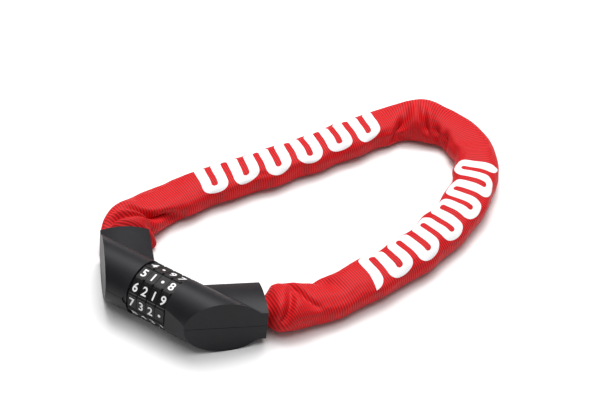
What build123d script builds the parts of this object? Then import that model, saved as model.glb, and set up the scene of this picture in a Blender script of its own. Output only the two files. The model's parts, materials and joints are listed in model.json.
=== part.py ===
"""Chain lock with four number wheels: two plastic end housings that plug together,
a bolt in a slotted barrel between them, and a square-link chain in a fabric sleeve.

Lock frame: X runs along the wheel axis from the lock housing to the bolt housing, Y points
into the loop, Z is up and the lock lies on Z = 0. At export everything is moved so that the
origin is the bottom centre of the two housings' box. Millimetres.
"""
from build123d import *
import os
from math import atan2, cos, degrees, radians, sin, sqrt, tan

# ------------------------------------------------------------------ number wheels
wheel_count = 4
wheel_pitch = 6.5
wheel_play = 0.15           # axial air on each side of a wheel
band_air = 0.4              # more air between the outer wheels and the housings
body_dia = 33.0             # housings, and the circle that the wheels' ribs stay under
wheel_recess = 0.05         # how far the ribs stay under the housing's surface
digit_count = 10
digit_flat_depth = 1.15     # from the rib tops down to the flat digit faces
rib_radius = 1.2
wheel_edge_chamfer = 0.7
wheel_bore_dia = 20.0

# ------------------------------------------------------------------ code rings, barrel and bolt
ring_width = 4.2
barrel_dia = 11.0
barrel_bore_dia = 7.4
running_clearance = 0.05    # radial, ring on barrel and bolt in barrel
slot_width = 2.8            # lengthwise slot in the barrel wall
tooth_width = 2.2           # bolt teeth, across the slot
tooth_length = 1.5          # bolt teeth, along the barrel
tooth_reach = 7.2           # bolt teeth, from the axis
tooth_clearance = 0.3       # round a tooth in the notches that it slides through
bolt_end_air = 1.0          # from the bolt's tip to the bottom of the barrel's bore
barrel_seat = 8.0           # length of barrel held in the lock core
washer_dia = 18.0
washer_thickness = 0.4
clip_thickness = 0.5
clip_rim = 1.5              # how far the clip stands out of the barrel
clip_groove_depth = 0.6
spring_width = 2.0
spring_thickness = 0.35
spring_lift = 0.35          # rise of each spring finger towards its ring
spring_air = 0.15           # between a finger and the ring at rest
spring_side_air = 0.2       # on each side of the spring, and past its ends
detent_depth = 0.5          # notches in the rings' bores

# ------------------------------------------------------------------ housings
wall = 2.2
end_wall = 2.0              # between the wheels and a housing's cavity
end_scale = body_dia / 33.0  # the angled ends grow with the body
side_height = 18.0 * end_scale  # flat side faces of the angled ends
crown_height = 23.0 * end_scale  # angled ends at the middle of their width
end_width = 29.0 * end_scale
facet_run = 30.6 * end_scale  # from the wheels to where the outer side plane crosses their axis
reach = 24.5 * end_scale    # from that crossing to the end face, along the exit
prism_root = 8.0 * end_scale  # how far the angled ends reach past the wheel axis into the body
bend = 46.0                 # angle between the wheel axis and a housing's exit
roll = 10.0                 # the lock body rests rolled back onto the ends' lower edges
crease_round = 2.0          # where an angled end leaves the round body
mouth_width = 18.0
mouth_height = 15.0
mouth_round = 5.0
parting_groove = 0.25
index_notch_radius = 2.6
index_notch_depth = 0.7
thumb_flat_depth = 1.5      # shallow flat beside the last wheel
thumb_flat_length = 16.0

# ------------------------------------------------------------------ cores and pins in the housings
core_clearance = 0.15       # between a core and the cavity round it
hub_dia = 15.2
hub_length = 11.0
arm_width = 9.0
arm_height = 5.6
arm_cap = 1.4               # metal over the chain pin
cross_pin_dia = 2.5
cross_pin_inset = 5.0       # from the hub's front
chain_pin_dia = 4.0
pin_clearance = 0.1
pin_inset = 8.0             # chain pin, inside a housing's end face

# ------------------------------------------------------------------ cover screws
screw_x = 20.5
screw_y = 11.3 * end_scale
screw_dia = 2.2
screw_head_dia = 4.0
screw_head_height = 1.3
recess_length = 2.4         # cross recess in a screw head
recess_width = 0.55
screw_length = 13.0
screw_clearance = 0.2
boss_dia = 6.6

# ------------------------------------------------------------------ chain
bar = 3.6                   # square bar of the links
link_play = 2.8             # opening of a link over the bar that passes through it
link_slack = 0.6
link_corner = 1.4           # inner corner radius of a link
bar_round = 0.7
left_links = 10
right_links = 19
chain_air = 0.25            # between an end link and the channel that it lies in

# ------------------------------------------------------------------ sleeve
sleeve_width = 28.0
sleeve_wall = 1.1
sleeve_air = 0.4            # over and under the upright links
ground_air = 0.3            # under the sleeve
sleeve_corner = 7.2
sleeve_start_gap = 6.0      # from a pivot next to a housing to the sleeve's open end
sleeve_split_gap = 0.4      # between the two stretches at the middle pivot
pivot_gap = 14.8            # from a housing's end face to the chain's outer pivot
open_angle = 25.0           # turn of each chain stretch as the lock is pulled open

# route of the chain and its sleeve between the two outer pivots, seen from above
ROUTE = [
    (-57.0, 59.5),
    (-50.0, 80.5),
    (-39.5, 103.5),
    (-25.5, 127.5),
    (-10.0, 155.0),
    (12.5, 203.5),
    (22.5, 220.0),
    (37.0, 230.5),
    (54.0, 233.5),
    (70.5, 228.5),
    (84.0, 217.0),
    (93.5, 200.0),
    (99.0, 179.5),
    (101.0, 153.5),
    (98.0, 125.0),
    (91.0, 98.5),
    (82.5, 75.5),
    (73.5, 54.5),
]
SPLIT_AFTER = 5             # the middle pivot lies on the run after this many route points

# ------------------------------------------------------------------ worked out from the above
UP = (Align.CENTER, Align.CENTER, Align.MIN)
DOWN = (Align.CENTER, Align.CENTER, Align.MAX)
TO_FRONT = (Align.CENTER, Align.MAX, Align.CENTER)
body_r = body_dia / 2
half_wheels = wheel_count * wheel_pitch / 2
half_band = half_wheels + band_air
facet_x = half_band + facet_run
wheel_r = body_r - wheel_recess
flat_r = wheel_r - digit_flat_depth
wheel_width = wheel_pitch - 2 * wheel_play
ring_r = wheel_bore_dia / 2
barrel_r = barrel_dia / 2
bolt_r = barrel_bore_dia / 2 - running_clearance
notch_r = tooth_reach + tooth_clearance
tooth_gap = (wheel_pitch - ring_width - tooth_length) / 2
wheel_x = [(i + 0.5) * wheel_pitch - half_wheels for i in range(wheel_count)]
tooth_x = [x - wheel_pitch / 2 for x in wheel_x]
core_front = half_band + end_wall + core_clearance
bolt_tip = tooth_x[0] - tooth_length / 2 - tooth_clearance
barrel_front = half_band - wheel_play
washer_x = wheel_x[-1] + ring_width / 2 + running_clearance
clip_x = washer_x + washer_thickness
spring_start = wheel_x[0] - ring_width / 2
spring_end = clip_x - washer_thickness - 2 * spring_side_air
link_inner_width = bar + link_play
link_outer_width = link_inner_width + 2 * bar
sleeve_height = link_outer_width + 2 * (sleeve_air + sleeve_wall)
chain_height = ground_air + sleeve_height / 2
screw_seat_y = screw_y + screw_head_dia / 2
screw_seat = body_r - sqrt(body_r**2 - screw_seat_y**2) + screw_clearance


def along(angle):
    """Unit vector in plan at this angle from +X, in degrees."""
    return Vector(cos(radians(angle)), sin(radians(angle)), 0)


def rod(radius, x_from, x_to, y=0.0, z=body_r):
    """Round bar along X."""
    plane = Plane(origin=(x_from, y, z), x_dir=(0, 1, 0), z_dir=(1, 0, 0))
    return extrude(plane * Circle(radius), x_to - x_from)


def beyond(point, angle, size=60.0):
    """Large block with one face through the point, filling the side that the angle points to."""
    centre = Vector(*point) + along(angle) * (size / 2)
    return Pos(centre.X, centre.Y, body_r) * Rot(0, 0, angle) * Box(size, 2 * size, 2 * size)


class Housing:
    """Plan geometry of one housing, reaching towards +X with its exit bent towards +Y."""

    def __init__(self):
        self.exit = along(bend)
        self.inward = along(bend + 90)
        self.corner = Vector(facet_x, 0, 0) + self.exit * reach
        self.end = self.corner + self.inward * (end_width / 2)

    def at(self, outward, across=0.0, z=0.0):
        """Point this far outside the end face and across the exit, at this height."""
        p = self.end + self.exit * outward + self.inward * across
        return Vector(p.X, p.Y, z)

    def form(self, inset=0.0, front=0.0, back=0.0):
        """Outer form of the housing, or the same form drawn in by a wall."""
        start = half_band + front
        body = rod(body_r - inset, start, facet_x + 2 * body_r)
        body -= beyond(self.corner + self.inward * inset, bend - 90, 120)
        body -= beyond(self.at(-back), bend, 120)
        half = end_width / 2 - inset
        side = side_height / 2 - inset
        crown = crown_height / 2 - inset
        section = Plane(origin=self.at(-back, 0, body_r), x_dir=self.inward, z_dir=-self.exit)
        outline = Polyline((half, side), (half, -side))
        outline += ThreePointArc((half, -side), (0, -crown), (-half, -side))
        outline += Polyline((-half, -side), (-half, side))
        outline += ThreePointArc((-half, side), (0, crown), (half, side))
        length = (self.corner.Y + prism_root) / sin(radians(bend)) - back
        prism = extrude(section * make_face(outline), length)
        prism -= beyond((start, 0, 0), 180, 120)
        return body + prism

    def rounded_form(self):
        """Outer form with a soft crease where the angled end meets the round body."""
        plain = self.form()
        edges = plain.edges()
        flanks = edges.filter_by(GeomType.ELLIPSE).filter_by(lambda e: e.center().Y > body_r / 2)
        return plain.fillet(crease_round, edges.filter_by(GeomType.BSPLINE) + flanks)

    def exit_plane(self, outward, height):
        """Plane facing out of the mouth, at this distance outside the end face."""
        return Plane(origin=self.at(outward, 0, height), x_dir=self.inward, z_dir=self.exit)

    def mouth(self):
        """Opening in the end face, round the end link."""
        outline = RectangleRounded(mouth_width, mouth_height, mouth_round)
        return extrude(self.exit_plane(-2 * wall, exit_height) * outline, 3 * wall)

    def covers(self, axis_hole_r):
        """Hollow covers as an upper and a lower half, with a fine groove where they meet."""
        outer = self.rounded_form()
        groove = Pos(0, 0, body_r) * Box(300, 300, parting_groove)
        groove &= outer - self.form(inset=parting_groove, front=-1.0, back=-1.0)
        hollow = outer - self.form(inset=wall, front=end_wall, back=wall)
        post = Cylinder(boss_dia / 2, body_dia)
        bosses = Part() + [Pos(x, y, body_r) * post for x, y in self.screws()]
        hollow += bosses & self.form(inset=wall / 2, front=wall / 2, back=wall)
        hollow -= self.mouth() + groove + rod(axis_hole_r, 0, core_front)
        above = Pos(0, 0, body_r) * Box(300, 300, 100, align=UP)
        upper = hollow & above
        lower = hollow - above
        pilot = Cylinder(screw_dia / 2, screw_length + screw_clearance, align=UP)
        passage = Cylinder(screw_dia / 2 + screw_clearance, body_dia, align=UP)
        counterbore = Cylinder(screw_head_dia / 2 + screw_clearance, body_dia, align=DOWN)
        for x, y in self.screws():
            seat = Pos(x, y, screw_seat)
            upper -= seat * pilot
            lower -= seat * passage
            lower -= seat * Pos(0, 0, screw_head_height + screw_clearance) * counterbore
        return upper, lower

    def screws(self):
        """Places of the cover screws, one on each side of the hub."""
        return [(screw_x, -screw_y), (screw_x, screw_y)]

    def core(self):
        """Metal core: a hub on the wheel axis and an arm over the end link to the chain pin."""
        hub = rod(hub_dia / 2, core_front, core_front + hub_length)
        pin = self.at(-pin_inset)
        start = Vector(core_front + hub_length / 2, 0, 0)
        run = pin - start
        middle = start + run * 0.5
        place = Pos(middle.X, middle.Y, arm_base) * Rot(0, 0, degrees(atan2(run.Y, run.X)))
        arm = place * Box(run.length, arm_width, arm_height, align=UP)
        arm += Pos(pin.X, pin.Y, arm_base) * Cylinder(arm_width / 2, arm_height, align=UP)
        return hub + arm - Pos(pin.X, pin.Y, 0) * Cylinder(chain_pin_dia / 2, pin_top, align=UP)

    def chain_pin(self):
        """Upright pin that holds the end link, pressed into the core's arm."""
        pin = self.at(-pin_inset)
        low = exit_height - bar / 2
        return Pos(pin.X, pin.Y, low) * Cylinder(chain_pin_dia / 2, pin_top - low, align=UP)

    def end_link(self):
        """Long flat link from the chain pin to the first upright link of the chain."""
        inner = self.at(-pin_inset - chain_pin_dia / 2 - pin_clearance, 0, exit_height)
        outer = self.at(pivot_gap + bar / 2 + link_slack / 2, 0, exit_height)
        return link(inner, outer, False)


def screw(x, y):
    """Pan-head screw pointing up, with a cross recess in its head."""
    shape = Pos(x, y, screw_seat) * Cylinder(screw_head_dia / 2, screw_head_height, align=UP)
    shape += Pos(x, y, screw_seat) * Cylinder(screw_dia / 2, screw_length, align=UP)
    recess = Box(recess_length, recess_width, screw_head_height)
    recess += Box(recess_width, recess_length, screw_head_height)
    return shape - Pos(x, y, screw_seat) * recess


def link(inner_start, inner_end, upright):
    """Link of square bar with this opening along its length, lying flat or standing on edge."""
    span = inner_end - inner_start
    centre = (inner_start + inner_end) * 0.5
    outline = RectangleRounded(span.length + 2 * bar, link_outer_width, link_corner + bar * 0.6)
    outline -= RectangleRounded(span.length, link_inner_width, link_corner)
    shape = extrude(outline, bar / 2, both=True)
    shape = chamfer(shape.edges().filter_by(GeomType.LINE).filter_by(Axis.X), bar_round)
    turn = Rot(0, 0, degrees(atan2(span.Y, span.X)))
    if upright:
        turn = turn * Rot(90, 0, 0)
    return Pos(centre.X, centre.Y, centre.Z) * turn * shape


def lock_marks(upper, lower):
    """Half-round code-line mark beside the first wheel."""
    mark = Plane(origin=(half_band, -body_r, body_r), x_dir=(1, 0, 0), z_dir=(0, -1, 0))
    cut = extrude(mark * Circle(index_notch_radius), index_notch_depth, both=True)
    return upper - cut, lower - cut


def bolt_marks(upper, lower):
    """Shallow flat beside the last wheel, running out along the body."""
    tilt = degrees(atan2(thumb_flat_depth, thumb_flat_length))
    block = Box(3 * thumb_flat_length, body_r, body_dia, align=(Align.MAX, Align.MAX, Align.CENTER))
    cut = Pos(half_band + thumb_flat_length, -body_r, body_r) * Rot(0, 0, -tilt) * block
    return upper - cut, lower - cut


def number_wheel(x):
    """Ten-sided wheel with a grip rib on each corner and a plain bore for its code ring."""
    plane = Plane(origin=(x - wheel_width / 2, 0, body_r), x_dir=(0, 1, 0), z_dir=(1, 0, 0))
    step = 360 / digit_count
    outline = RegularPolygon(flat_r, digit_count, major_radius=False, rotation=step / 2)
    for i in range(digit_count):
        outline += Rot(0, 0, (i + 0.5) * step) * Pos(wheel_r - rib_radius, 0) * Circle(rib_radius)
    blank = extrude(plane * outline, wheel_width)
    low_r = wheel_r - wheel_edge_chamfer
    cone = Cone(low_r + wheel_width / 2, low_r, wheel_width / 2, align=UP)
    blank &= Pos(x, 0, body_r) * Rot(0, 90, 0) * (cone + mirror(cone, about=Plane.XY))
    return blank - rod(ring_r, x - wheel_width, x + wheel_width)


def code_ring(x):
    """Ring pressed into a wheel, with a notch for the bolt's tooth and a dent for each digit."""
    start = x - ring_width / 2
    ring = rod(ring_r, start, start + ring_width)
    ring -= rod(barrel_r + running_clearance, start, start + ring_width)
    groove = Rot(0, 90, 0) * Cylinder(detent_depth, 2 * ring_width)
    dent = Pos(0, barrel_r + running_clearance, 0) * groove
    for i in range(digit_count):
        ring -= Pos(x, 0, body_r) * Rot(360 / digit_count * i, 0, 0) * dent
    return ring - tooth_path(x, ring_width)


def tooth_path(x, length):
    """Space that the bolt's teeth need along the axis, centred on this place."""
    space = Box(2 * length, notch_r, tooth_width + 2 * tooth_clearance, align=TO_FRONT)
    return Pos(x, 0, body_r) * space


def barrel():
    """Slotted tube fixed in the lock core, on which the code rings turn."""
    back = -core_front - barrel_seat
    tube = rod(barrel_r, back, barrel_front)
    tube -= rod(barrel_bore_dia / 2, bolt_tip - bolt_end_air, half_band)
    slot = Box(barrel_front - bolt_tip, barrel_dia, slot_width, align=TO_FRONT)
    tube -= Pos((bolt_tip + barrel_front) / 2, 0, body_r) * slot
    length = spring_end - spring_start + 2 * spring_side_air
    depth = spring_thickness + spring_lift + spring_air
    seat = Box(length, spring_width + 2 * spring_side_air, 2 * depth)
    tube -= Pos((spring_start + spring_end) / 2, 0, body_r + barrel_r) * seat
    ring = rod(barrel_r + clip_rim, clip_x, clip_x + clip_thickness)
    ring -= rod(barrel_r - clip_groove_depth, clip_x, clip_x + clip_thickness)
    return tube - ring


def detent_spring():
    """Leaf spring lying in the barrel's flat, with a raised finger under each code ring."""
    base = body_r + barrel_r - spring_thickness - spring_lift - spring_air
    length = spring_end - spring_start
    leaf = Box(length, spring_width, spring_thickness, align=UP)
    leaf = Pos((spring_start + spring_end) / 2, 0, base) * leaf
    finger = Rot(90, 0, 0) * Cylinder(spring_lift, spring_width)
    for x in wheel_x:
        leaf += Pos(x, 0, base + spring_thickness) * finger
    return leaf


def wheel_washer():
    """Thin washer between the last code ring and the clip, notched for the bolt's teeth."""
    ring = rod(washer_dia / 2, washer_x, clip_x)
    ring -= rod(barrel_r + running_clearance, washer_x, clip_x)
    return ring - tooth_path(washer_x, washer_thickness)


def retaining_clip():
    """Open clip that snaps into the barrel's groove and keeps the wheels on."""
    ring = rod(barrel_r + clip_rim, clip_x, clip_x + clip_thickness)
    ring -= rod(barrel_r - clip_groove_depth, clip_x, clip_x + clip_thickness)
    return ring - tooth_path(clip_x, clip_thickness)


def bolt_bar():
    """Round bolt with one tooth in front of each code ring and a cross hole for its pin."""
    shape = rod(bolt_r, bolt_tip, core_front + hub_length)
    for x in tooth_x:
        shape += Pos(x, 0, body_r) * Box(tooth_length, tooth_reach, tooth_width, align=TO_FRONT)
    return shape - cross_pin()


def cross_pin():
    """Upright pin through the bolt core and the bolt."""
    z = body_r - hub_dia / 2
    return Pos(core_front + cross_pin_inset, 0, z) * Cylinder(cross_pin_dia / 2, hub_dia, align=UP)


def corner_radii(points):
    """Radius for each inner point: 0.45 of the shorter run, over the tangent of half the turn."""
    radii = []
    for a, b, c in zip(points, points[1:], points[2:]):
        first = Vector(b) - Vector(a)
        second = Vector(c) - Vector(b)
        half_turn = radians(first.get_angle(second) / 2)
        radii.append(0.45 * min(first.length, second.length) / tan(half_turn))
    return radii


def route_wire(points):
    """Chain centre line through these plan points as straight runs and tangent arcs."""
    lifted = [(x, y, chain_height) for x, y in points]
    radii = corner_radii(lifted)
    print("route radii", [round(r) for r in radii])
    return FilletPolyline(*lifted, radius=radii).wire()


def point_on(wire, distance):
    """Point at this distance along a wire, which goes straight on past its end."""
    past = max(distance - wire.length, 0.0)
    point = wire.position_at(min(distance, wire.length), PositionMode.LENGTH)
    return point + wire.tangent_at(1) * past


def stretch_links(wire, count, first_offset, pitch, opening):
    """Links along a wire, upright and flat in turn, each between two joints on the route."""
    shapes = []
    for i in range(count):
        a = point_on(wire, first_offset + i * pitch)
        b = point_on(wire, first_offset + (i + 1) * pitch)
        spare = (b - a).normalized() * ((opening - (b - a).length) / 2)
        shapes.append(link(a - spare, b + spare, i % 2 == 0))
    return shapes


def sleeve(wire, start_cut, end_cut):
    """Flat fabric tube round one stretch of chain, open at both ends."""
    tangent = wire.tangent_at(0)
    start = wire.position_at(0)
    section = Plane(origin=start, x_dir=(-tangent.Y, tangent.X, 0), z_dir=tangent)
    outer = RectangleRounded(sleeve_width, sleeve_height, sleeve_corner)
    inner_w = sleeve_width - 2 * sleeve_wall
    inner_h = sleeve_height - 2 * sleeve_wall
    inner = RectangleRounded(inner_w, inner_h, sleeve_corner - sleeve_wall)
    tube = sweep(section * outer, path=wire) - sweep(section * inner, path=wire)
    return tube - start_cut - end_cut


housing = Housing()
pivot_plan = housing.at(pivot_gap)
lean = radians(roll)

# the exit stands at the height that the roll brings down to the chain at its outer pivot
exit_height = body_r + (chain_height - body_r + pivot_plan.Y * sin(lean)) / cos(lean)
arm_base = exit_height + bar / 2 + chain_air
pin_top = arm_base + arm_height - arm_cap
pivot_y = pivot_plan.Y * cos(lean) + (exit_height - body_r) * sin(lean)
pivot_bolt = Vector(pivot_plan.X, pivot_y, chain_height)
pivot_lock = Vector(-pivot_plan.X, pivot_y, chain_height)
before = Vector(*ROUTE[SPLIT_AFTER - 1], chain_height)
after = Vector(*ROUTE[SPLIT_AFTER], chain_height)
pivot_middle = before + (after - before) * (-before.X / (after.X - before.X))


def plan(vector):
    """Plan coordinates of a point."""
    return (vector.X, vector.Y)


def mirrored(shape):
    """Shape built for the bolt side, moved to the lock side."""
    return mirror(shape, about=Plane.YZ)


def rolled(shape):
    """Shape of the lock body, rolled back about the wheel axis to the way it rests."""
    return Pos(0, 0, body_r) * Rot(-roll, 0, 0) * Pos(0, 0, -body_r) * shape


def lock_body():
    """Sub-parts of the two housings and the wheels, before the roll."""
    nodes = {}
    upper, lower = lock_marks(*housing.covers(notch_r + core_clearance))
    nodes["lock_cover_top"] = mirrored(upper)
    nodes["lock_cover_bottom"] = mirrored(lower)
    lock_core = housing.core() - rod(barrel_r, 0, core_front + barrel_seat)
    nodes["lock_core"] = mirrored(lock_core)
    nodes["lock_chain_pin"] = mirrored(housing.chain_pin())
    nodes["lock_end_link"] = mirrored(housing.end_link())
    nodes["lock_cover_screws"] = Compound([mirrored(screw(x, y)) for x, y in housing.screws()])
    nodes["barrel"] = barrel()
    nodes["detent_spring"] = detent_spring()
    nodes["wheel_washer"] = wheel_washer()
    nodes["retaining_clip"] = retaining_clip()
    for i, x in enumerate(wheel_x, 1):
        nodes[f"number_wheel_{i}"] = number_wheel(x)
        nodes[f"code_ring_{i}"] = code_ring(x)
    upper, lower = bolt_marks(*housing.covers(bolt_r + core_clearance))
    nodes["bolt_cover_top"] = upper
    nodes["bolt_cover_bottom"] = lower
    nodes["bolt_core"] = housing.core() - rod(bolt_r, 0, core_front + hub_length) - cross_pin()
    nodes["bolt"] = bolt_bar()
    nodes["bolt_cross_pin"] = cross_pin()
    nodes["bolt_chain_pin"] = housing.chain_pin()
    nodes["bolt_end_link"] = housing.end_link()
    nodes["bolt_cover_screws"] = Compound([screw(x, y) for x, y in housing.screws()])
    return nodes


def chain_and_sleeve():
    """Links and sleeve of the two stretches, lying on the ground."""
    nodes = {}
    left = route_wire([plan(pivot_lock)] + ROUTE[:SPLIT_AFTER] + [plan(pivot_middle)])
    right = route_wire([plan(pivot_middle)] + ROUTE[SPLIT_AFTER:] + [plan(pivot_bolt)])
    left_pitch = left.length / left_links
    right_pitch = (right.length - bar) / right_links
    opening = max(left_pitch, right_pitch) + link_slack
    print("chain stretches", round(left.length, 1), round(right.length, 1))
    print("link opening", round(opening, 2))
    links = stretch_links(left, left_links, bar / 2, left_pitch, opening)
    for i, shape in enumerate(links, 1):
        nodes[f"chain_link_left_{i:02d}"] = shape
    links = stretch_links(right, right_links, bar / 2, right_pitch, opening)
    for i, shape in enumerate(links, 1):
        nodes[f"chain_link_right_{i:02d}"] = shape

    split = degrees(atan2(after.Y - before.Y, after.X - before.X))
    start = pivot_lock + left.tangent_at(0) * sleeve_start_gap
    end = pivot_bolt - right.tangent_at(1) * sleeve_start_gap
    start_turn = degrees(atan2(left.tangent_at(0).Y, left.tangent_at(0).X))
    end_turn = degrees(atan2(right.tangent_at(1).Y, right.tangent_at(1).X))
    gap = along(split) * (sleeve_split_gap / 2)
    fold = open_angle + 1
    nodes["sleeve_left"] = sleeve(
        left,
        beyond(start, start_turn + 180, sleeve_width),
        beyond(pivot_middle - gap, split, sleeve_width)
        + beyond(pivot_middle, split + fold, sleeve_width),
    )
    nodes["sleeve_right"] = sleeve(
        right,
        beyond(pivot_middle + gap, split + 180, sleeve_width)
        + beyond(pivot_middle, split + 180 - fold, sleeve_width),
        beyond(end, end_turn, sleeve_width),
    )
    return nodes


def build():
    """All sub-parts by node name, in the lock frame."""
    nodes = {name: rolled(shape) for name, shape in lock_body().items()}
    nodes.update(chain_and_sleeve())
    return nodes


def main():
    """Build every sub-part, move the origin under the housings and write one STEP per node."""
    nodes = build()
    housings = Compound([nodes[n] for n in nodes if "cover_" in n and "screws" not in n]).bounding_box()
    origin = Vector((housings.min.X + housings.max.X) / 2, (housings.min.Y + housings.max.Y) / 2, 0)
    place = Pos(-origin.X, -origin.Y, 0)
    os.makedirs("parts", exist_ok=True)
    for name, shape in nodes.items():
        export_step(place * shape, f"parts/{name}.step")
    for name, point in (("lock", pivot_lock), ("middle", pivot_middle), ("bolt", pivot_bolt)):
        moved = point - origin
        print("pivot", name, round(moved.X, 4), round(moved.Y, 4))
    print("wheel axis at", round(-origin.X, 4), round(-origin.Y, 4), body_r)


if __name__ == "__main__":
    main()
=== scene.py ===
"""Combination chain lock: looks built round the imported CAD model, in metres, Z up."""
import json
import math

import bmesh
import bpy
import numpy as np
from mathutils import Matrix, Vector, noise


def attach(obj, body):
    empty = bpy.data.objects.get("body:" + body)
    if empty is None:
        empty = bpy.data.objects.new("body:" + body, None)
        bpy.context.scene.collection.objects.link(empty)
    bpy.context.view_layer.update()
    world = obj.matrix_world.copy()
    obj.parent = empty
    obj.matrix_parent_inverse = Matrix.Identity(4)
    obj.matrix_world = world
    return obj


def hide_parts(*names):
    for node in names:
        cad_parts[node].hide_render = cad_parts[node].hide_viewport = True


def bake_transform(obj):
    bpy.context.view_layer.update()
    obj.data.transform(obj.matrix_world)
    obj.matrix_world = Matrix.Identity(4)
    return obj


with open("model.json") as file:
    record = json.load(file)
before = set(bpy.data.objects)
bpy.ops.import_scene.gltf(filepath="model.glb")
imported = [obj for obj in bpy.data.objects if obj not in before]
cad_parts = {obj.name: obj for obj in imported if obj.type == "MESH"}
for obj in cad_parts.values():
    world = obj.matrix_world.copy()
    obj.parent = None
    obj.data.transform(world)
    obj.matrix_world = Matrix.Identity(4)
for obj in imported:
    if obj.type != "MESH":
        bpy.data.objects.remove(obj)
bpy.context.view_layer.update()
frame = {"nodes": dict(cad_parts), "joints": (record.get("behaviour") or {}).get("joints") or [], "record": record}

# ------------------------------------------------------------------ places read from the frame
JOINTS = {j["name"]: j for j in frame["joints"]}
WHEEL_POINTS = [Vector(JOINTS[f"wheel_{i}_turn"]["pos_m"]) for i in range(1, 5)]
AXIS_POINT = sum(WHEEL_POINTS, Vector()) / len(WHEEL_POINTS)
PIVOT_LOCK = Vector(JOINTS["chain_open"]["pos_m"])
PIVOT_BOLT = Vector(JOINTS["bolt_housing_turn"]["pos_m"])
CHAIN_HEIGHT = PIVOT_LOCK.z

# ------------------------------------------------------------------ driving sizes
MM = 0.001
BEND = math.radians(46)     # from the wheel axis to a housing's exit
ROLL = math.radians(10)     # of the lock body, rolled back onto its ends' lower edges
END_GAP = 14.8 * MM         # from a housing's end face to the chain's outer pivot
MOUTH_DEPTH = 6.0 * MM      # how far the sleeve reaches into each mouth
SLEEVE_WIDTH = 28.0 * MM
SLEEVE_HEIGHT = 16.6 * MM
SQUARENESS = 2.6            # exponent of the sleeve's section, where 2 is an ellipse
ROUNDNESS = 0.9             # the section's perimeter as a share of its box's
MOUTH_WIDTH = 17.2 * MM     # the sleeve's section where it goes into a mouth
MOUTH_HEIGHT = 14.0 * MM
OPENS_FROM = MOUTH_DEPTH + 0.5 * MM     # along the line: here the sleeve starts to widen
OPENS_TO = MOUTH_DEPTH + 8 * MM         # and here it has its full section
LEVEL_FROM = 2 * MM         # outside a mouth: here the sleeve still has the housing's roll
LEVEL_TO = 12 * MM          # and from here on it lies level
RING_STEP = 0.5 * MM        # between two rings of the sleeve's mesh
RING_POINTS = 112
HAIR = 1e-9                 # margin for comparing marks
FLOOR_AIR = 0.3 * MM
LOW_ZONE = 1.2 * MM         # the cloth flattens out below this height
LINK_PERIOD = 29.9 * MM     # two links of chain, of which one stands upright
LINK_LIFT = 0.05            # share by which an upright link raises the sleeve
LINK_PINCH = 0.025          # share by which it narrows it
LINK_PINCH_INNER = 0.045    # and what is added to that on the inner side
SLACK = 0.9 * MM            # height of the cloth's unevenness between its folds
SLACK_LONG = 21 * MM        # length of the unevenness along the sleeve, coarse
SLACK_SHORT = 8 * MM        # and fine
RIB_PITCH = 1.5 * MM
RIB_SLANT = 0.45            # how far the ribs lean where the sleeve is twisted at its ends
TWIST_LOCK = 16 * MM        # how far that twist reaches at the lock
TWIST_BOLT = 13 * MM        # and at the bolt
THREAD_PITCH = 0.8          # of the threads that cross the ribs, in mm
UV_WIDTH = 0.1              # what 1 in u is round the sleeve, in metres
UV_LENGTH = 0.5             # what 1 in v is along the sleeve, in metres

# plan route of the chain between its outer pivots, from the middle of the wheels, in mm
ROUTE = [
    (-57.0, 59.5),
    (-50.0, 80.5),
    (-39.5, 103.5),
    (-25.5, 127.5),
    (-10.0, 155.0),
    (12.5, 203.5),
    (22.5, 220.0),
    (37.0, 230.5),
    (54.0, 233.5),
    (70.5, 228.5),
    (84.0, 217.0),
    (93.5, 200.0),
    (99.0, 179.5),
    (101.0, 153.5),
    (98.0, 125.0),
    (91.0, 98.5),
    (82.5, 75.5),
    (73.5, 54.5),
]
FAR_CORNER = (29, 225)      # where the chain turns back, in the same plan


# ------------------------------------------------------------------ small helpers
def smooth(x, low, high):
    """0 below low, 1 above high, and an even S curve between."""
    t = min(max((x - low) / (high - low), 0.0), 1.0)
    return t * t * (3 - 2 * t)


def bell(x, centre, width):
    """Smooth bump of height 1 at the centre."""
    return math.exp(-(((x - centre) / width) ** 2))


def rolled(vector):
    """Direction given in the lock body, as it lies rolled back about the wheel axis."""
    c, s = math.cos(ROLL), math.sin(ROLL)
    return Vector((vector[0], vector[1] * c + vector[2] * s, vector[2] * c - vector[1] * s))


def exit_direction(side):
    """Unit vector out of a housing's mouth; side is -1 for the lock and 1 for the bolt."""
    return rolled((side * math.cos(BEND), math.sin(BEND), 0))


def plan_point(x, y):
    """Point at the chain's height, from plan millimetres measured from the middle of the wheels."""
    return Vector((AXIS_POINT.x + x * MM, AXIS_POINT.y + y * MM, CHAIN_HEIGHT))


def new_object(name, mesh):
    """Object for this mesh, curve, lamp or camera, put in the scene."""
    piece = bpy.data.objects.new(name, mesh)
    bpy.context.scene.collection.objects.link(piece)
    return piece


# ------------------------------------------------------------------ materials
def node_material(name):
    """New material, its node tree and its shader."""
    material = bpy.data.materials.new(name)
    material.use_nodes = True
    tree = material.node_tree
    return material, tree, tree.nodes["Principled BSDF"]


def add(tree, kind, **settings):
    """New node with these settings."""
    node = tree.nodes.new(kind)
    for key, value in settings.items():
        setattr(node, key, value)
    return node


def math_node(tree, operation, first, second=None):
    """Result of a maths node; each operand is a number or another node's output."""
    node = add(tree, "ShaderNodeMath", operation=operation)
    for socket, value in zip(node.inputs, (first, second)):
        if value is None:
            continue
        if isinstance(value, (int, float)):
            socket.default_value = value
        else:
            tree.links.new(value, socket)
    return node.outputs[0]


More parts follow.
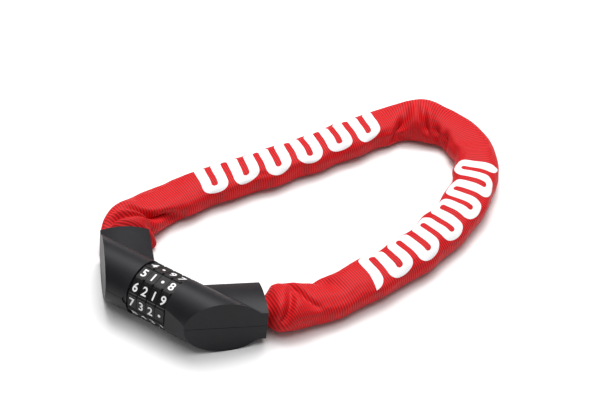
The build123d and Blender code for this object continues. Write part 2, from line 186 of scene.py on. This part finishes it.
def noise_texture(tree, scale, detail=2.0):
    """Noise in the piece's own coordinates; the scale is in waves per metre."""
    coordinates = add(tree, "ShaderNodeTexCoord")
    texture = add(tree, "ShaderNodeTexNoise")
    texture.inputs["Scale"].default_value = scale
    texture.inputs["Detail"].default_value = detail
    tree.links.new(coordinates.outputs["Object"], texture.inputs["Vector"])
    return texture.outputs["Fac"]


def bump(tree, height, distance, strength):
    """Normal bent by a height map whose full height is this distance."""
    node = add(tree, "ShaderNodeBump")
    node.inputs["Strength"].default_value = strength
    node.inputs["Distance"].default_value = distance
    tree.links.new(height, node.inputs["Height"])
    return node.outputs["Normal"]


def ramp(tree, value, stops):
    """Colour for a value between 0 and 1, from (position, colour) stops."""
    node = add(tree, "ShaderNodeValToRGB")
    elements = node.color_ramp.elements
    while len(elements) < len(stops):
        elements.new(0.5)
    for element, (position, colour) in zip(elements, stops):
        element.position = position
        element.color = (*colour, 1)
    tree.links.new(value, node.inputs["Fac"])
    return node.outputs["Color"]


def plastic(name, dark, light, rough, grain):
    """Moulded satin plastic with a fine grain and faint large unevenness."""
    material, tree, shader = node_material(name)
    patches = noise_texture(tree, 90.0)
    tree.links.new(ramp(tree, patches, [(0.3, dark), (0.7, light)]), shader.inputs["Base Color"])
    grain_map = noise_texture(tree, 2600.0, 3.0)
    roughness = add(tree, "ShaderNodeMapRange")
    roughness.inputs["To Min"].default_value = rough - 0.05
    roughness.inputs["To Max"].default_value = rough + 0.06
    tree.links.new(patches, roughness.inputs["Value"])
    tree.links.new(roughness.outputs["Result"], shader.inputs["Roughness"])
    tree.links.new(bump(tree, grain_map, grain, 0.5), shader.inputs["Normal"])
    shader.inputs["Specular IOR Level"].default_value = 0.22
    return material


def metal(name, colour, rough):
    """Cast or drawn metal with small tarnish marks."""
    material, tree, shader = node_material(name)
    marks = noise_texture(tree, 400.0, 4.0)
    darker = tuple(c * 0.75 for c in colour)
    tree.links.new(ramp(tree, marks, [(0.35, darker), (0.6, colour)]), shader.inputs["Base Color"])
    shader.inputs["Metallic"].default_value = 1.0
    shader.inputs["Roughness"].default_value = rough
    tree.links.new(bump(tree, marks, 0.05 * MM, 0.4), shader.inputs["Normal"])
    return material


def paint(name, colour, rough):
    """Printed filling of the numerals, slightly uneven."""
    material, tree, shader = node_material(name)
    wear = noise_texture(tree, 1500.0, 3.0)
    worn = tuple(c * 0.86 for c in colour)
    tree.links.new(ramp(tree, wear, [(0.3, worn), (0.55, colour)]), shader.inputs["Base Color"])
    shader.inputs["Roughness"].default_value = rough
    tree.links.new(bump(tree, wear, 0.02 * MM, 0.3), shader.inputs["Normal"])
    return material


# the printed line, in mm along and round the sleeve
PRINT_STARTS = (80.0, 304.0)    # first strokes of the two prints, along the sleeve
PRINT_SLANT = 0.18              # how far the strokes lean
STROKE_GAPS = 11
STROKE_PITCH = 11.0
STROKE = 6.7
STROKE_HALF = 5.6               # straight part of a stroke, to each side of the middle
WAVES_AHEAD = 20                # whole waves added, as a remainder needs a positive number

# colours by rib height: painted shade in the grooves between ribs and threads, painted highlight on their tops;
# the white print gets the same painted shade, only weaker
RED_RIB_SHADE_STOPS = [(0.0, (0.27, 0.0, 0.002)), (0.4, (0.52, 0.001, 0.004)), (1.0, (0.72, 0.007, 0.010))]
WHITE_RIB_SHADE_STOPS = [(0.0, (0.76, 0.76, 0.77)), (1.0, (0.84, 0.84, 0.85))]


def arch_distance(tree, along, outward, shift):
    """How far the middle of the line is: upright strokes joined by arches on one side."""
    reach = 2 * STROKE_PITCH
    phase = math_node(tree, "ADD", along, reach * WAVES_AHEAD + STROKE_PITCH * shift)
    across = math_node(tree, "SUBTRACT", math_node(tree, "MODULO", phase, reach), STROKE_PITCH)
    rise = math_node(tree, "MAXIMUM", math_node(tree, "SUBTRACT", outward, STROKE_HALF), 0.0)
    across_squared = math_node(tree, "POWER", math_node(tree, "ABSOLUTE", across), 2.0)
    rise_squared = math_node(tree, "POWER", rise, 2.0)
    radius = math_node(tree, "SQRT", math_node(tree, "ADD", across_squared, rise_squared))
    return math_node(tree, "ABSOLUTE", math_node(tree, "SUBTRACT", radius, STROKE_PITCH / 2))


def wave_mask(tree, around, along):
    """1 on the printed serpentine line; both coordinates are in millimetres."""
    slanted = math_node(tree, "ADD", along, math_node(tree, "MULTIPLY", around, PRINT_SLANT))
    last = STROKE_GAPS * STROKE_PITCH
    total = None
    for start in PRINT_STARTS:
        local = math_node(tree, "SUBTRACT", slanted, start)
        upper = arch_distance(tree, local, around, 0.5)
        lower = arch_distance(tree, local, math_node(tree, "MULTIPLY", around, -1.0), 1.5)
        side = math_node(tree, "GREATER_THAN", around, 0.0)
        change = math_node(tree, "MULTIPLY", math_node(tree, "SUBTRACT", upper, lower), side)
        distance = math_node(tree, "ADD", lower, change)
        stroke = math_node(tree, "LESS_THAN", distance, STROKE / 2)
        begun = math_node(tree, "GREATER_THAN", local, -STROKE / 2)
        not_ended = math_node(tree, "LESS_THAN", local, last + STROKE / 2)
        inside = math_node(tree, "MULTIPLY", begun, not_ended)
        area = math_node(tree, "MULTIPLY", inside, stroke)
        total = area if total is None else math_node(tree, "MAXIMUM", total, area)
    return total


def fabric(name, printed):
    """Ribbed red textile: ribs across the tube, threads across the ribs, and a white print; its colour is painted
    darker in the grooves (painted shade) and lighter on the rib and thread tops (painted highlight).
    """
    material, tree, shader = node_material(name)
    uv = add(tree, "ShaderNodeUVMap", uv_map="UVMap")
    split = add(tree, "ShaderNodeSeparateXYZ")
    tree.links.new(uv.outputs["UV"], split.inputs[0])
    from_top = math_node(tree, "SUBTRACT", split.outputs["X"], 0.5)
    around = math_node(tree, "MULTIPLY", from_top, UV_WIDTH / MM)
    along = math_node(tree, "MULTIPLY", split.outputs["Y"], UV_LENGTH / MM)
    rib_phase = math_node(tree, "MULTIPLY", along, 2 * math.pi / (RIB_PITCH / MM))
    wobble = math_node(tree, "MULTIPLY", noise_texture(tree, 120.0), 1.2)
    rib = math_node(tree, "SINE", math_node(tree, "ADD", rib_phase, wobble))
    rib = math_node(tree, "MULTIPLY", math_node(tree, "ADD", rib, 1.0), 0.5)
    thread_phase = math_node(tree, "MULTIPLY", around, 2 * math.pi / THREAD_PITCH)
    stagger = math_node(tree, "MULTIPLY", rib_phase, 0.5)
    thread = math_node(tree, "SINE", math_node(tree, "ADD", thread_phase, stagger))
    thread = math_node(tree, "MULTIPLY", math_node(tree, "ADD", thread, 1.0), 0.5)
    thread_share = math_node(tree, "MULTIPLY", thread, 0.3)
    weave = math_node(tree, "MULTIPLY", rib, math_node(tree, "ADD", thread_share, 0.7))
    # the rib and thread height also sets the colour, as painted shade in the grooves and painted highlight on the
    # tops
    red = ramp(tree, weave, RED_RIB_SHADE_STOPS)
    if printed:
        mask = wave_mask(tree, around, along)
        # the print's white, with the same painted shade in the grooves and painted highlight on the tops
        white = ramp(tree, weave, WHITE_RIB_SHADE_STOPS)
        mix = add(tree, "ShaderNodeMix", data_type="RGBA")
        tree.links.new(mask, mix.inputs["Factor"])
        tree.links.new(red, mix.inputs["A"])
        tree.links.new(white, mix.inputs["B"])
        tree.links.new(mix.outputs["Result"], shader.inputs["Base Color"])
        keep = math_node(tree, "SUBTRACT", 1.0, math_node(tree, "MULTIPLY", mask, 0.85))
        height = math_node(tree, "ADD", math_node(tree, "MULTIPLY", weave, keep), mask)
    else:
        tree.links.new(red, shader.inputs["Base Color"])
        height = weave
    shader.inputs["Roughness"].default_value = 0.62
    shader.inputs["Sheen Weight"].default_value = 0.04
    shader.inputs["Specular IOR Level"].default_value = 0.25
    shader.inputs["Sheen Roughness"].default_value = 0.4
    tree.links.new(bump(tree, height, 0.16 * MM, 0.8), shader.inputs["Normal"])
    return material


# ------------------------------------------------------------------ the sleeve's line
def route_spline():
    """Smooth centre line of the sleeve, from inside one mouth to inside the other."""
    lock_out = exit_direction(-1)
    bolt_out = exit_direction(1)
    lock_mouth = PIVOT_LOCK - lock_out * END_GAP
    bolt_mouth = PIVOT_BOLT - bolt_out * END_GAP
    points = [lock_mouth - lock_out * MOUTH_DEPTH, PIVOT_LOCK]
    points += [plan_point(x, y) for x, y in ROUTE]
    points += [PIVOT_BOLT, bolt_mouth - bolt_out * MOUTH_DEPTH]
    curve = bpy.data.curves.new("route", "CURVE")
    curve.dimensions = "3D"
    curve.resolution_u = 24
    spline = curve.splines.new("NURBS")
    spline.points.add(len(points) - 1)
    for slot, point in zip(spline.points, points):
        slot.co = (*point, 1)
    spline.order_u = 3
    spline.use_endpoint_u = True
    carrier = new_object("route", curve)
    line = bpy.data.meshes.new_from_object(carrier)
    result = np.array([v.co for v in line.vertices])
    bpy.data.objects.remove(carrier)
    return result


def even_points(line, step):
    """The line's points at even distances, with the distance of each."""
    runs = np.linalg.norm(np.diff(line, axis=0), axis=1)
    distance = np.concatenate([[0.0], np.cumsum(runs)])
    count = int(round(distance[-1] / step)) + 1
    marks = np.linspace(0, distance[-1], count)
    return np.stack([np.interp(marks, distance, line[:, i]) for i in range(3)], axis=1), marks


LINE, MARKS = even_points(route_spline(), RING_STEP)
TOTAL = MARKS[-1]


def mark_near(point):
    """Distance along the line of its point nearest to this one."""
    return MARKS[int(np.argmin(np.linalg.norm(LINE - np.array(point), axis=1)))]


AT_LOCK = mark_near(PIVOT_LOCK)
AT_BOLT = mark_near(PIVOT_BOLT)
AT_CORNER = mark_near(plan_point(*FAR_CORNER))
SEAM_LOCK = MARKS[int((AT_LOCK + 20 * MM) / RING_STEP)]
SEAM_BOLT = MARKS[int((AT_BOLT - 18 * MM) / RING_STEP)]

# folds of the fabric: middle along the sleeve, lean along it per radian round it, width along it,
# middle and half width round it in degrees (0 outer side, 90 top, 180 inner side), height
FOLDS = [
    (AT_LOCK + 2 * MM, 0, 15.0 * MM, 90, 105, 5.4 * MM),
    (AT_LOCK - 3 * MM, 8 * MM, 2.8 * MM, 75, 75, -5.8 * MM),
    (AT_LOCK + 12 * MM, 11 * MM, 3.4 * MM, 110, 80, -5.8 * MM),
    (AT_LOCK - 4 * MM, 0, 7.0 * MM, 208, 62, 6.0 * MM),
    (AT_LOCK + 25 * MM, 13 * MM, 5.0 * MM, 160, 65, -4.2 * MM),
    (AT_CORNER + 8 * MM, 0, 13.0 * MM, 75, 95, 5.6 * MM),
    (AT_CORNER - 9 * MM, -8 * MM, 4.4 * MM, 135, 80, -6.4 * MM),
    (AT_CORNER - 9 * MM, 0, 6.0 * MM, 190, 40, -3.4 * MM),
    (AT_CORNER + 12 * MM, 6 * MM, 3.2 * MM, 125, 75, -5.0 * MM),
    (AT_CORNER + 24 * MM, 6 * MM, 3.4 * MM, 150, 65, -4.2 * MM),
    (AT_CORNER + 37 * MM, 5 * MM, 4.0 * MM, 165, 55, -3.2 * MM),
    (AT_BOLT + 1 * MM, 0, 13.0 * MM, 90, 115, 5.0 * MM),
    (AT_BOLT - 7 * MM, 8 * MM, 2.8 * MM, 95, 85, -3.9 * MM),
    (AT_BOLT + 3 * MM, -6 * MM, 2.8 * MM, 55, 80, -4.6 * MM),
    (AT_BOLT - 1 * MM, 0, 7.0 * MM, 185, 60, 3.0 * MM),
    (AT_BOLT - 24 * MM, 9 * MM, 5.0 * MM, 130, 65, -2.8 * MM),
]


def fold_height(mark, angle):
    """Sum of all folds at this place, outwards."""
    total = 0.0
    for middle, lean, width, centre, reach, height in FOLDS:
        turn = (math.degrees(angle) - centre + 180) % 360 - 180
        if abs(turn) >= reach:
            continue
        here = middle + lean * math.radians(turn)
        total += height * bell(mark, here, width) * math.cos(math.pi / 2 * turn / reach) ** 2
    return total


def section(mark, angle):
    """Point of the sleeve's surface in its own section: across and up, in metres."""
    opened = smooth(mark, OPENS_FROM, OPENS_TO) * smooth(TOTAL - mark, OPENS_FROM, OPENS_TO)
    half = (MOUTH_WIDTH + (SLEEVE_WIDTH - MOUTH_WIDTH) * opened) / 2
    tall = (MOUTH_HEIGHT + (SLEEVE_HEIGHT - MOUTH_HEIGHT) * opened) / 2
    c, s = math.cos(angle), math.sin(angle)
    power = 2 / SQUARENESS
    across = math.copysign(abs(c) ** power, c) * half
    up = math.copysign(abs(s) ** power, s) * tall
    link_wave = math.cos(2 * math.pi * (mark - AT_LOCK) / LINK_PERIOD)
    inner = 0.5 - 0.5 * c
    up *= 1 + LINK_LIFT * link_wave * opened
    across *= 1 - (LINK_PINCH + LINK_PINCH_INNER * inner) * link_wave * opened
    loose = noise.noise(Vector((mark / SLACK_LONG, 1.3 * c, 1.3 * s)))
    loose += 0.5 * noise.noise(Vector((mark / SLACK_SHORT, 2.4 * c + 7, 2.4 * s)))
    swell = (fold_height(mark, angle) + SLACK * loose) * opened
    return across + swell * c, up + swell * s


def above_floor(height):
    """Height of the cloth where it would go low: it flattens out just above the floor."""
    if height >= LOW_ZONE:
        return height
    room = LOW_ZONE - FLOOR_AIR
    return FLOOR_AIR + room * math.exp((height - LOW_ZONE) / room)


def tube_points():
    """Surface of the whole sleeve: one row of points per mark on the line."""
    rows = np.zeros((len(LINE), RING_POINTS, 3))
    for i, mark in enumerate(MARKS):
        before, after = LINE[max(i - 1, 0)], LINE[min(i + 1, len(LINE) - 1)]
        tangent = Vector(after - before).normalized()
        from_mouth = min(mark, TOTAL - mark) - MOUTH_DEPTH
        lift = rolled((0, 0, 1)).lerp(Vector((0, 0, 1)), smooth(from_mouth, LEVEL_FROM, LEVEL_TO))
        side = lift.cross(tangent).normalized()
        lift = tangent.cross(side)
        for k in range(RING_POINTS):
            across, up = section(mark, 2 * math.pi * k / RING_POINTS)
            point = Vector(LINE[i]) + side * across + lift * up
            point.z = above_floor(point.z)
            rows[i, k] = point
    return rows


TUBE = tube_points()
ALONG = np.gradient(TUBE, axis=0)
AROUND = np.roll(TUBE, -1, axis=1) - np.roll(TUBE, 1, axis=1)
OUTWARD = np.cross(AROUND, ALONG)
OUTWARD /= np.linalg.norm(OUTWARD, axis=2, keepdims=True)


def marks_between(low, high):
    """Which marks lie on this stretch, its two ends among them."""
    return (MARKS >= low - HAIR) & (MARKS <= high + HAIR)


def rib_slant(mark):
    """How far the ribs lean here, one way at the lock and the other way at the bolt."""
    at_lock = RIB_SLANT * bell(mark, AT_LOCK + 4 * MM, TWIST_LOCK)
    return at_lock - RIB_SLANT * bell(mark, AT_BOLT, TWIST_BOLT)


def sleeve_piece(name, low, high, material):
    """Stretch of the sleeve as one mesh, with a uv that measures it."""
    indices = np.nonzero(marks_between(low, high))[0]
    first, rows, n = indices[0], len(indices), RING_POINTS
    faces = []
    for r in range(rows - 1):
        for k in range(n):
            j = (k + 1) % n
            faces.append((r * n + k, r * n + j, (r + 1) * n + j, (r + 1) * n + k))
    mesh = bpy.data.meshes.new(name)
    mesh.from_pydata([tuple(p) for p in TUBE[indices].reshape(-1, 3)], [], faces)
    layer = mesh.uv_layers.new(name="UVMap")
    perimeter = 2 * (SLEEVE_WIDTH + SLEEVE_HEIGHT) * ROUNDNESS
    for polygon in mesh.polygons:
        k_face = polygon.index % n
        for corner in polygon.loop_indices:
            r, k = divmod(mesh.loops[corner].vertex_index, n)
            if k_face == n - 1 and k == 0:
                k = n
            # the uv is cut open underneath and measured from the top, a quarter turn from the outer side
            turn = k / n if k_face < 3 * n // 4 else k / n - 1
            mark = MARKS[first + r]
            around = (turn - 0.25) * perimeter
            along = mark + around * rib_slant(mark)
            layer.data[corner].uv = (0.5 + around / UV_WIDTH, along / UV_LENGTH)
    mesh.polygons.foreach_set("use_smooth", [True] * len(mesh.polygons))
    mesh.normals_split_custom_set_from_vertices(OUTWARD[indices].reshape(-1, 3))
    mesh.materials.append(material)
    mesh.update()
    return new_object(name, mesh)


# ------------------------------------------------------------------ numerals
FIGURES = 10                # on each wheel
DIGIT_HEIGHT = 5.4 * MM
CAPITAL = 0.73              # height of a figure at text size 1
BOLDER = 0.14 * MM          # how far the figures' outlines are moved out
DOT_RADIUS = 0.95 * MM      # the zero is a dot
FLAT_RADIUS = 15.3 * MM     # from the wheel axis to a wheel's flats
PROUD = 0.03 * MM           # how far the print stands off a flat
OPENING_CODE = (7, 3, 2, 0)


def glyph(character):
    """Flat bold figure as a mesh, centred on its own middle."""
    if character == "0":
        shape = bmesh.new()
        bmesh.ops.create_circle(shape, cap_ends=True, segments=32, radius=DOT_RADIUS)
        mesh = bpy.data.meshes.new("dot")
        shape.to_mesh(mesh)
        shape.free()
        return mesh
    text = bpy.data.curves.new("figure", "FONT")
    text.body = character
    text.size = DIGIT_HEIGHT / CAPITAL
    text.offset = BOLDER
    text.align_x = "CENTER"
    carrier = new_object("figure", text)
    mesh = bpy.data.meshes.new_from_object(carrier)
    bpy.data.objects.remove(carrier)
    co = np.array([v.co for v in mesh.vertices])
    middle = (co.min(0) + co.max(0)) / 2
    for v in mesh.vertices:
        v.co -= Vector(middle)
    return mesh


def numerals(wheel, first, material):
    """All ten figures of one wheel as one mesh just proud of its flats."""
    place = WHEEL_POINTS[wheel]
    vertices, faces = [], []
    for k in range(FIGURES):
        turn = math.radians(360 / FIGURES * k) + ROLL
        outward = Vector((0, -math.cos(turn), math.sin(turn)))
        upward = Vector((0, math.sin(turn), math.cos(turn)))
        mesh = glyph(str((first - k) % FIGURES))
        base = len(vertices)
        for v in mesh.vertices:
            point = place + Vector((1, 0, 0)) * v.co.x + upward * v.co.y
            vertices.append(point + outward * (FLAT_RADIUS + PROUD))
        faces += [[base + i for i in p.vertices] for p in mesh.polygons]
    mesh = bpy.data.meshes.new(f"numerals_{wheel + 1}")
    mesh.from_pydata(vertices, [], faces)
    mesh.materials.append(material)
    piece = new_object(f"numerals_{wheel + 1}", mesh)
    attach(piece, f"wheel_{wheel + 1}")


# ------------------------------------------------------------------ finish of the CAD pieces
def paint_frame():
    """Every CAD node gets the material of its slot in the record."""
    materials = {
        "housing_plastic": plastic(
            "housing_plastic",
            dark=(0.008, 0.008, 0.010),
            light=(0.011, 0.011, 0.0135),
            rough=0.45,
            grain=0.02 * MM,
        ),
        "wheel_plastic": plastic(
            "wheel_plastic",
            dark=(0.005, 0.005, 0.0055),
            light=(0.008, 0.008, 0.0085),
            rough=0.42,
            grain=0.012 * MM,
        ),
        "chain_steel": metal("chain_steel", colour=(0.55, 0.55, 0.56), rough=0.35),
        "pin_steel": metal("pin_steel", colour=(0.62, 0.62, 0.63), rough=0.25),
        "screw_steel": metal("screw_steel", colour=(0.16, 0.16, 0.17), rough=0.4),
        "core_zinc": metal("core_zinc", colour=(0.5, 0.51, 0.53), rough=0.45),
        "ring_zinc": metal("ring_zinc", colour=(0.72, 0.58, 0.3), rough=0.3),
        "sleeve_fabric": fabric("sleeve_fabric_plain", printed=False),
    }
    for part in frame["record"]["subparts"]:
        node = frame["nodes"][part["node"]]
        node.data.materials.clear()
        node.data.materials.append(materials[part["material_slot"]])


paint_frame()
sleeve_red = fabric("sleeve_fabric", printed=True)
lock_end = sleeve_piece("sleeve_lock_end", 0, SEAM_LOCK, sleeve_red)
middle = sleeve_piece("sleeve_long", SEAM_LOCK, SEAM_BOLT, sleeve_red)
bolt_end = sleeve_piece("sleeve_bolt_end", SEAM_BOLT, TOTAL, sleeve_red)
white = paint("numeral_white", colour=(0.82, 0.82, 0.82), rough=0.5)
for wheel, first in enumerate(OPENING_CODE):
    numerals(wheel, first, white)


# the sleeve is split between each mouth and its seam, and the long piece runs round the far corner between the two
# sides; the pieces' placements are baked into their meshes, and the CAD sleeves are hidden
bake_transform(lock_end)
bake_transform(middle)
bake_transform(bolt_end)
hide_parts("sleeve_left", "sleeve_right")


# ------------------------------------------------------------------ floor, light and camera
def floor():
    """Plain pale floor, 8 m square."""
    mesh = bpy.data.meshes.new("floor")
    half = 4.0
    corners = [(-half, -half, 0), (half, -half, 0), (half, half, 0), (-half, half, 0)]
    mesh.from_pydata(corners, [], [(0, 1, 2, 3)])
    material, tree, shader = node_material("floor_white")
    tone = noise_texture(tree, 3.0)
    colour = ramp(tree, tone, [(0.3, (0.90, 0.90, 0.90)), (0.7, (0.92, 0.92, 0.92))])
    tree.links.new(colour, shader.inputs["Base Color"])
    shader.inputs["Roughness"].default_value = 0.9
    mesh.materials.append(material)
    piece = new_object("floor", mesh)


def area_light(name, place, target, size, power):
    """Round soft light at a place, aimed at a target."""
    data = bpy.data.lights.new(name, "AREA")
    data.shape = "DISK"
    data.size = size
    data.energy = power
    lamp = new_object(name, data)
    lamp.location = place
    lamp.rotation_euler = (Vector(target) - Vector(place)).to_track_quat("-Z", "Y").to_euler()


def studio():
    """White surroundings and two soft lights, with colours shown as they are."""
    world = bpy.data.worlds.new("studio")
    world.use_nodes = True
    background = world.node_tree.nodes["Background"]
    background.inputs["Color"].default_value = (1, 1, 1, 1)
    background.inputs["Strength"].default_value = 0.26
    bpy.context.scene.world = world
    area_light("key", place=(-0.35, 0.75, 1.5), target=(0, 0.08, 0), size=1.1, power=20)
    area_light("top", place=(0.0, 0.35, 1.6), target=(0, 0.1, 0), size=2.2, power=27)
    view = bpy.context.scene.view_settings
    view.view_transform = "Standard"
    view.look = "None"


def camera():
    """Camera at the photograph's place and angle."""
    data = bpy.data.cameras.new("camera")
    data.sensor_width = 36
    data.lens = 90
    item = new_object("camera", data)
    item.location = (0.4053, -0.4685, 0.6213)
    forward = Vector((-0.42224, 0.62207, -0.65935))
    item.rotation_euler = forward.to_track_quat("-Z", "Y").to_euler()
    bpy.context.scene.camera = item


floor()
studio()
camera()
